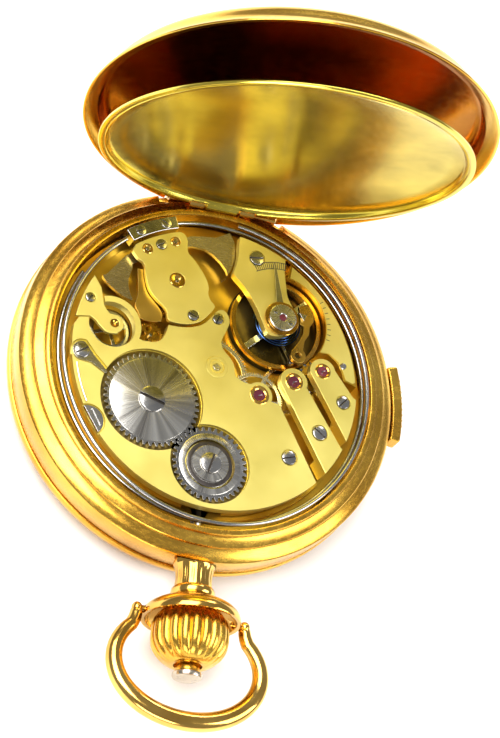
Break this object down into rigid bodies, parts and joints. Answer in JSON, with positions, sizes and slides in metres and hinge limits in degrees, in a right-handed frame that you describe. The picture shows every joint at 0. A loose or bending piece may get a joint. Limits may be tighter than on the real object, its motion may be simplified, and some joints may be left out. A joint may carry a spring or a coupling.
{
  "type": "pocket watch",
  "caption": "Gold hunter pocket watch with its back and inner cover open on a gilt repeating movement, with winding crown, bow and a repeater slide.",
  "frame": {"origin": "middle of the flat on the closed front cover, which the watch lies on", "axes": "+Z out of the back of the watch, -Y towards the pendant and crown, +Y towards the cover hinges, +X towards the repeater slide"},
  "size_m": [0.0577, 0.0828, 0.0629],
  "materials": {
    "gold": "polished yellow gold",
    "gilt_brass": "fine frosted gilding",
    "brass": "circular grained",
    "polished_steel": "polished and fine brushed",
    "blued_steel": "heat blued",
    "enamel": "white enamel",
    "glass": "clear"
  },
  "bodies": {
    "case": {"case_band": "gold", "pendant": "gold", "front_bezel": "gold", "crystal": "glass", "dial": "enamel", "main_plate": "gilt_brass", "barrel_bridge": "gilt_brass", "fourth_wheel_bridge": "gilt_brass", "escape_wheel_bridge": "gilt_brass", "balance_cock": "gilt_brass", "stud_arm": "gilt_brass", "repeater_bridge": "gilt_brass", "repeater_under_bridge": "gilt_brass", "governor_cock": "gilt_brass", "gong_block": "polished_steel", "hour_gong": "polished_steel", "quarter_gong": "polished_steel", "click_spring": "polished_steel", "cover_lift_spring": "polished_steel", "back_hinge_pin": "gold", "cuvette_hinge_pin": "gold", "front_hinge_pin": "gold", "dog_screw": "polished_steel", "hairspring": "blued_steel", "endstone_cap": "polished_steel", "crown_wheel_core": "polished_steel"},
    "back_cover": {"back_cover": "gold"},
    "cuvette": {"cuvette": "gold"},
    "front_cover": {"front_cover": "gold"},
    "bow": {"bow": "gold"},
    "crown": {"winding_crown": "gold", "winding_stem": "polished_steel", "winding_pinion": "polished_steel"},
    "button": {"crown_button": "polished_steel"},
    "crown_wheel": {"crown_wheel": "polished_steel"},
    "ratchet": {"ratchet_wheel": "polished_steel", "ratchet_screw": "polished_steel", "barrel_arbor": "polished_steel"},
    "barrel": {"mainspring_barrel": "brass", "mainspring": "polished_steel"},
    "slide": {"repeater_slide": "gold"},
    "rack": {"repeater_rack": "polished_steel"},
    "repeater_barrel": {"repeater_barrel": "brass"},
    "hour_hammer": {"hour_hammer": "polished_steel"},
    "quarter_hammer": {"quarter_hammer": "polished_steel"},
    "governor": {"governor_fly": "polished_steel"},
    "balance": {"balance_wheel": "brass"},
    "pallet": {"pallet_fork": "polished_steel"},
    "regulator": {"regulator": "brass"},
    "click": {"click": "polished_steel"},
    "centre": {"centre_wheel": "brass", "cannon_pinion": "polished_steel", "minute_hand": "blued_steel"},
    "hour": {"hour_wheel": "brass", "hour_hand": "blued_steel"},
    "minute_wheel": {"minute_wheel": "brass"},
    "third": {"third_wheel": "brass"},
    "fourth": {"fourth_wheel": "brass", "seconds_hand": "blued_steel"},
    "escape": {"escape_wheel": "polished_steel"}
  },
  "joints": [
    {"name": "back_cover_hinge", "type": "hinge", "parent": "case", "child": "back_cover", "pos_m": [0, 0.0259, 0.009], "axis": [1, 0, 0], "range_deg": [-2, 89.2]},
    {"name": "cuvette_hinge", "type": "hinge", "parent": "case", "child": "cuvette", "pos_m": [-0.00086, 0.02458, 0.0115], "axis": [0.9994, 0.0349, 0], "range_deg": [-1.9, 81.5]},
    {"name": "front_cover_hinge", "type": "hinge", "parent": "case", "child": "front_cover", "pos_m": [0, 0.0267, 0.00465], "axis": [1, 0, 0], "range_deg": [0, 95]},
    {"name": "bow_hinge", "type": "hinge", "parent": "case", "child": "bow", "pos_m": [0, -0.0355, 0.0081], "axis": [1, 0, 0], "range_deg": [-85, 85]},
    {"name": "crown_turn", "type": "hinge", "parent": "case", "child": "crown", "pos_m": [0, -0.038, 0.0081], "axis": [0, 1, 0], "continuous": true},
    {"name": "button_press", "type": "slide", "parent": "crown", "child": "button", "axis": [0, 1, 0], "range_m": [0, 0.0008], "stiffness_N_per_m": 40, "springref_m": -0.0001},
    {"name": "crown_wheel_turn", "type": "hinge", "parent": "case", "child": "crown_wheel", "pos_m": [0, -0.0145, 0.0112], "axis": [0, 0, 1], "continuous": true},
    {"name": "ratchet_turn", "type": "hinge", "parent": "case", "child": "ratchet", "pos_m": [-0.00895, -0.00685, 0.0112], "axis": [0, 0, 1], "continuous": true},
    {"name": "slide_travel", "type": "hinge", "parent": "case", "child": "slide", "pos_m": [0, 0, 0.007], "axis": [0, 0, 1], "range_deg": [-16, 0], "stiffness_Nm_per_rad": 0.05, "springref_deg": 2.86},
    {"name": "rack_swing", "type": "hinge", "parent": "case", "child": "rack", "pos_m": [0.016, 0.0135, 0.0061], "axis": [0, 0, 1], "range_deg": [-4.8, 0]},
    {"name": "repeater_barrel_wind", "type": "hinge", "parent": "case", "child": "repeater_barrel", "pos_m": [-0.0066, 0.0118, 0.009], "axis": [0, 0, 1], "range_deg": [0, 128]},
    {"name": "hour_hammer_swing", "type": "hinge", "parent": "case", "child": "hour_hammer", "pos_m": [-0.01125, 0.0156, 0.0099], "axis": [0, 0, 1], "range_deg": [-5, 2], "stiffness_Nm_per_rad": 0.001},
    {"name": "quarter_hammer_swing", "type": "hinge", "parent": "case", "child": "quarter_hammer", "pos_m": [-0.0073, 0.0177, 0.0099], "axis": [0, 0, 1], "range_deg": [-4, 1], "stiffness_Nm_per_rad": 0.001},
    {"name": "governor_spin", "type": "hinge", "parent": "case", "child": "governor", "pos_m": [-0.0152, 0.003, 0.0096], "axis": [0, 0, 1], "continuous": true},
    {"name": "fourth_wheel_turn", "type": "hinge", "parent": "case", "child": "fourth", "pos_m": [0.0115, 0.00035, 0.0085], "axis": [0, 0, 1], "continuous": true},
    {"name": "escape_wheel_turn", "type": "hinge", "parent": "case", "child": "escape", "pos_m": [0.0157, 0.0029, 0.00885], "axis": [0, 0, 1], "continuous": true},
    {"name": "third_wheel_turn", "type": "hinge", "parent": "case", "child": "third", "pos_m": [0.0065, -0.0028, 0.01], "axis": [0, 0, 1], "continuous": true},
    {"name": "centre_turn", "type": "hinge", "parent": "case", "child": "centre", "pos_m": [0, 0, 0.0091], "axis": [0, 0, 1], "continuous": true},
    {"name": "hour_turn", "type": "hinge", "parent": "case", "child": "hour", "pos_m": [0, 0, 0.0059], "axis": [0, 0, 1], "continuous": true},
    {"name": "minute_wheel_turn", "type": "hinge", "parent": "case", "child": "minute_wheel", "pos_m": [-0.0035, 0.0035, 0.0064], "axis": [0, 0, 1], "continuous": true},
    {"name": "barrel_turn", "type": "hinge", "parent": "case", "child": "barrel", "pos_m": [-0.00895, -0.00685, 0.008], "axis": [0, 0, 1], "continuous": true},
    {"name": "balance_swing", "type": "hinge", "parent": "case", "child": "balance", "pos_m": [0.00905, 0.0094, 0.0094], "axis": [0, 0, 1], "range_deg": [-270, 270], "stiffness_Nm_per_rad": 0.000002},
    {"name": "pallet_swing", "type": "hinge", "parent": "case", "child": "pallet", "pos_m": [0.01185, 0.0045, 0.00885], "axis": [0, 0, 1], "range_deg": [-4, 4]},
    {"name": "regulator_turn", "type": "hinge", "parent": "case", "child": "regulator", "pos_m": [0.00905, 0.0094, 0.0119], "axis": [0, 0, 1], "range_deg": [-10, 30]},
    {"name": "click_pivot", "type": "hinge", "parent": "case", "child": "click", "pos_m": [-0.0193, -0.0018, 0.0113], "axis": [0, 0, 1], "range_deg": [0, 3.5], "stiffness_Nm_per_rad": 0.001}
  ],
  "couplings": [
    {"joint": "cuvette_hinge", "follows": "back_cover_hinge", "ratio": 0.91368},
    {"joint": "crown_wheel_turn", "follows": "crown_turn", "ratio": 0.36111},
    {"joint": "ratchet_turn", "follows": "crown_turn", "ratio": -0.28261},
    {"joint": "rack_swing", "follows": "slide_travel", "ratio": 0.3},
    {"joint": "repeater_barrel_wind", "follows": "slide_travel", "ratio": -8},
    {"joint": "escape_wheel_turn", "follows": "fourth_wheel_turn", "ratio": -10},
    {"joint": "third_wheel_turn", "follows": "fourth_wheel_turn", "ratio": -0.13333},
    {"joint": "centre_turn", "follows": "fourth_wheel_turn", "ratio": 0.016667},
    {"joint": "hour_turn", "follows": "fourth_wheel_turn", "ratio": 0.0013889},
    {"joint": "minute_wheel_turn", "follows": "fourth_wheel_turn", "ratio": -0.0055556},
    {"joint": "barrel_turn", "follows": "fourth_wheel_turn", "ratio": -0.0020833}
  ]
}
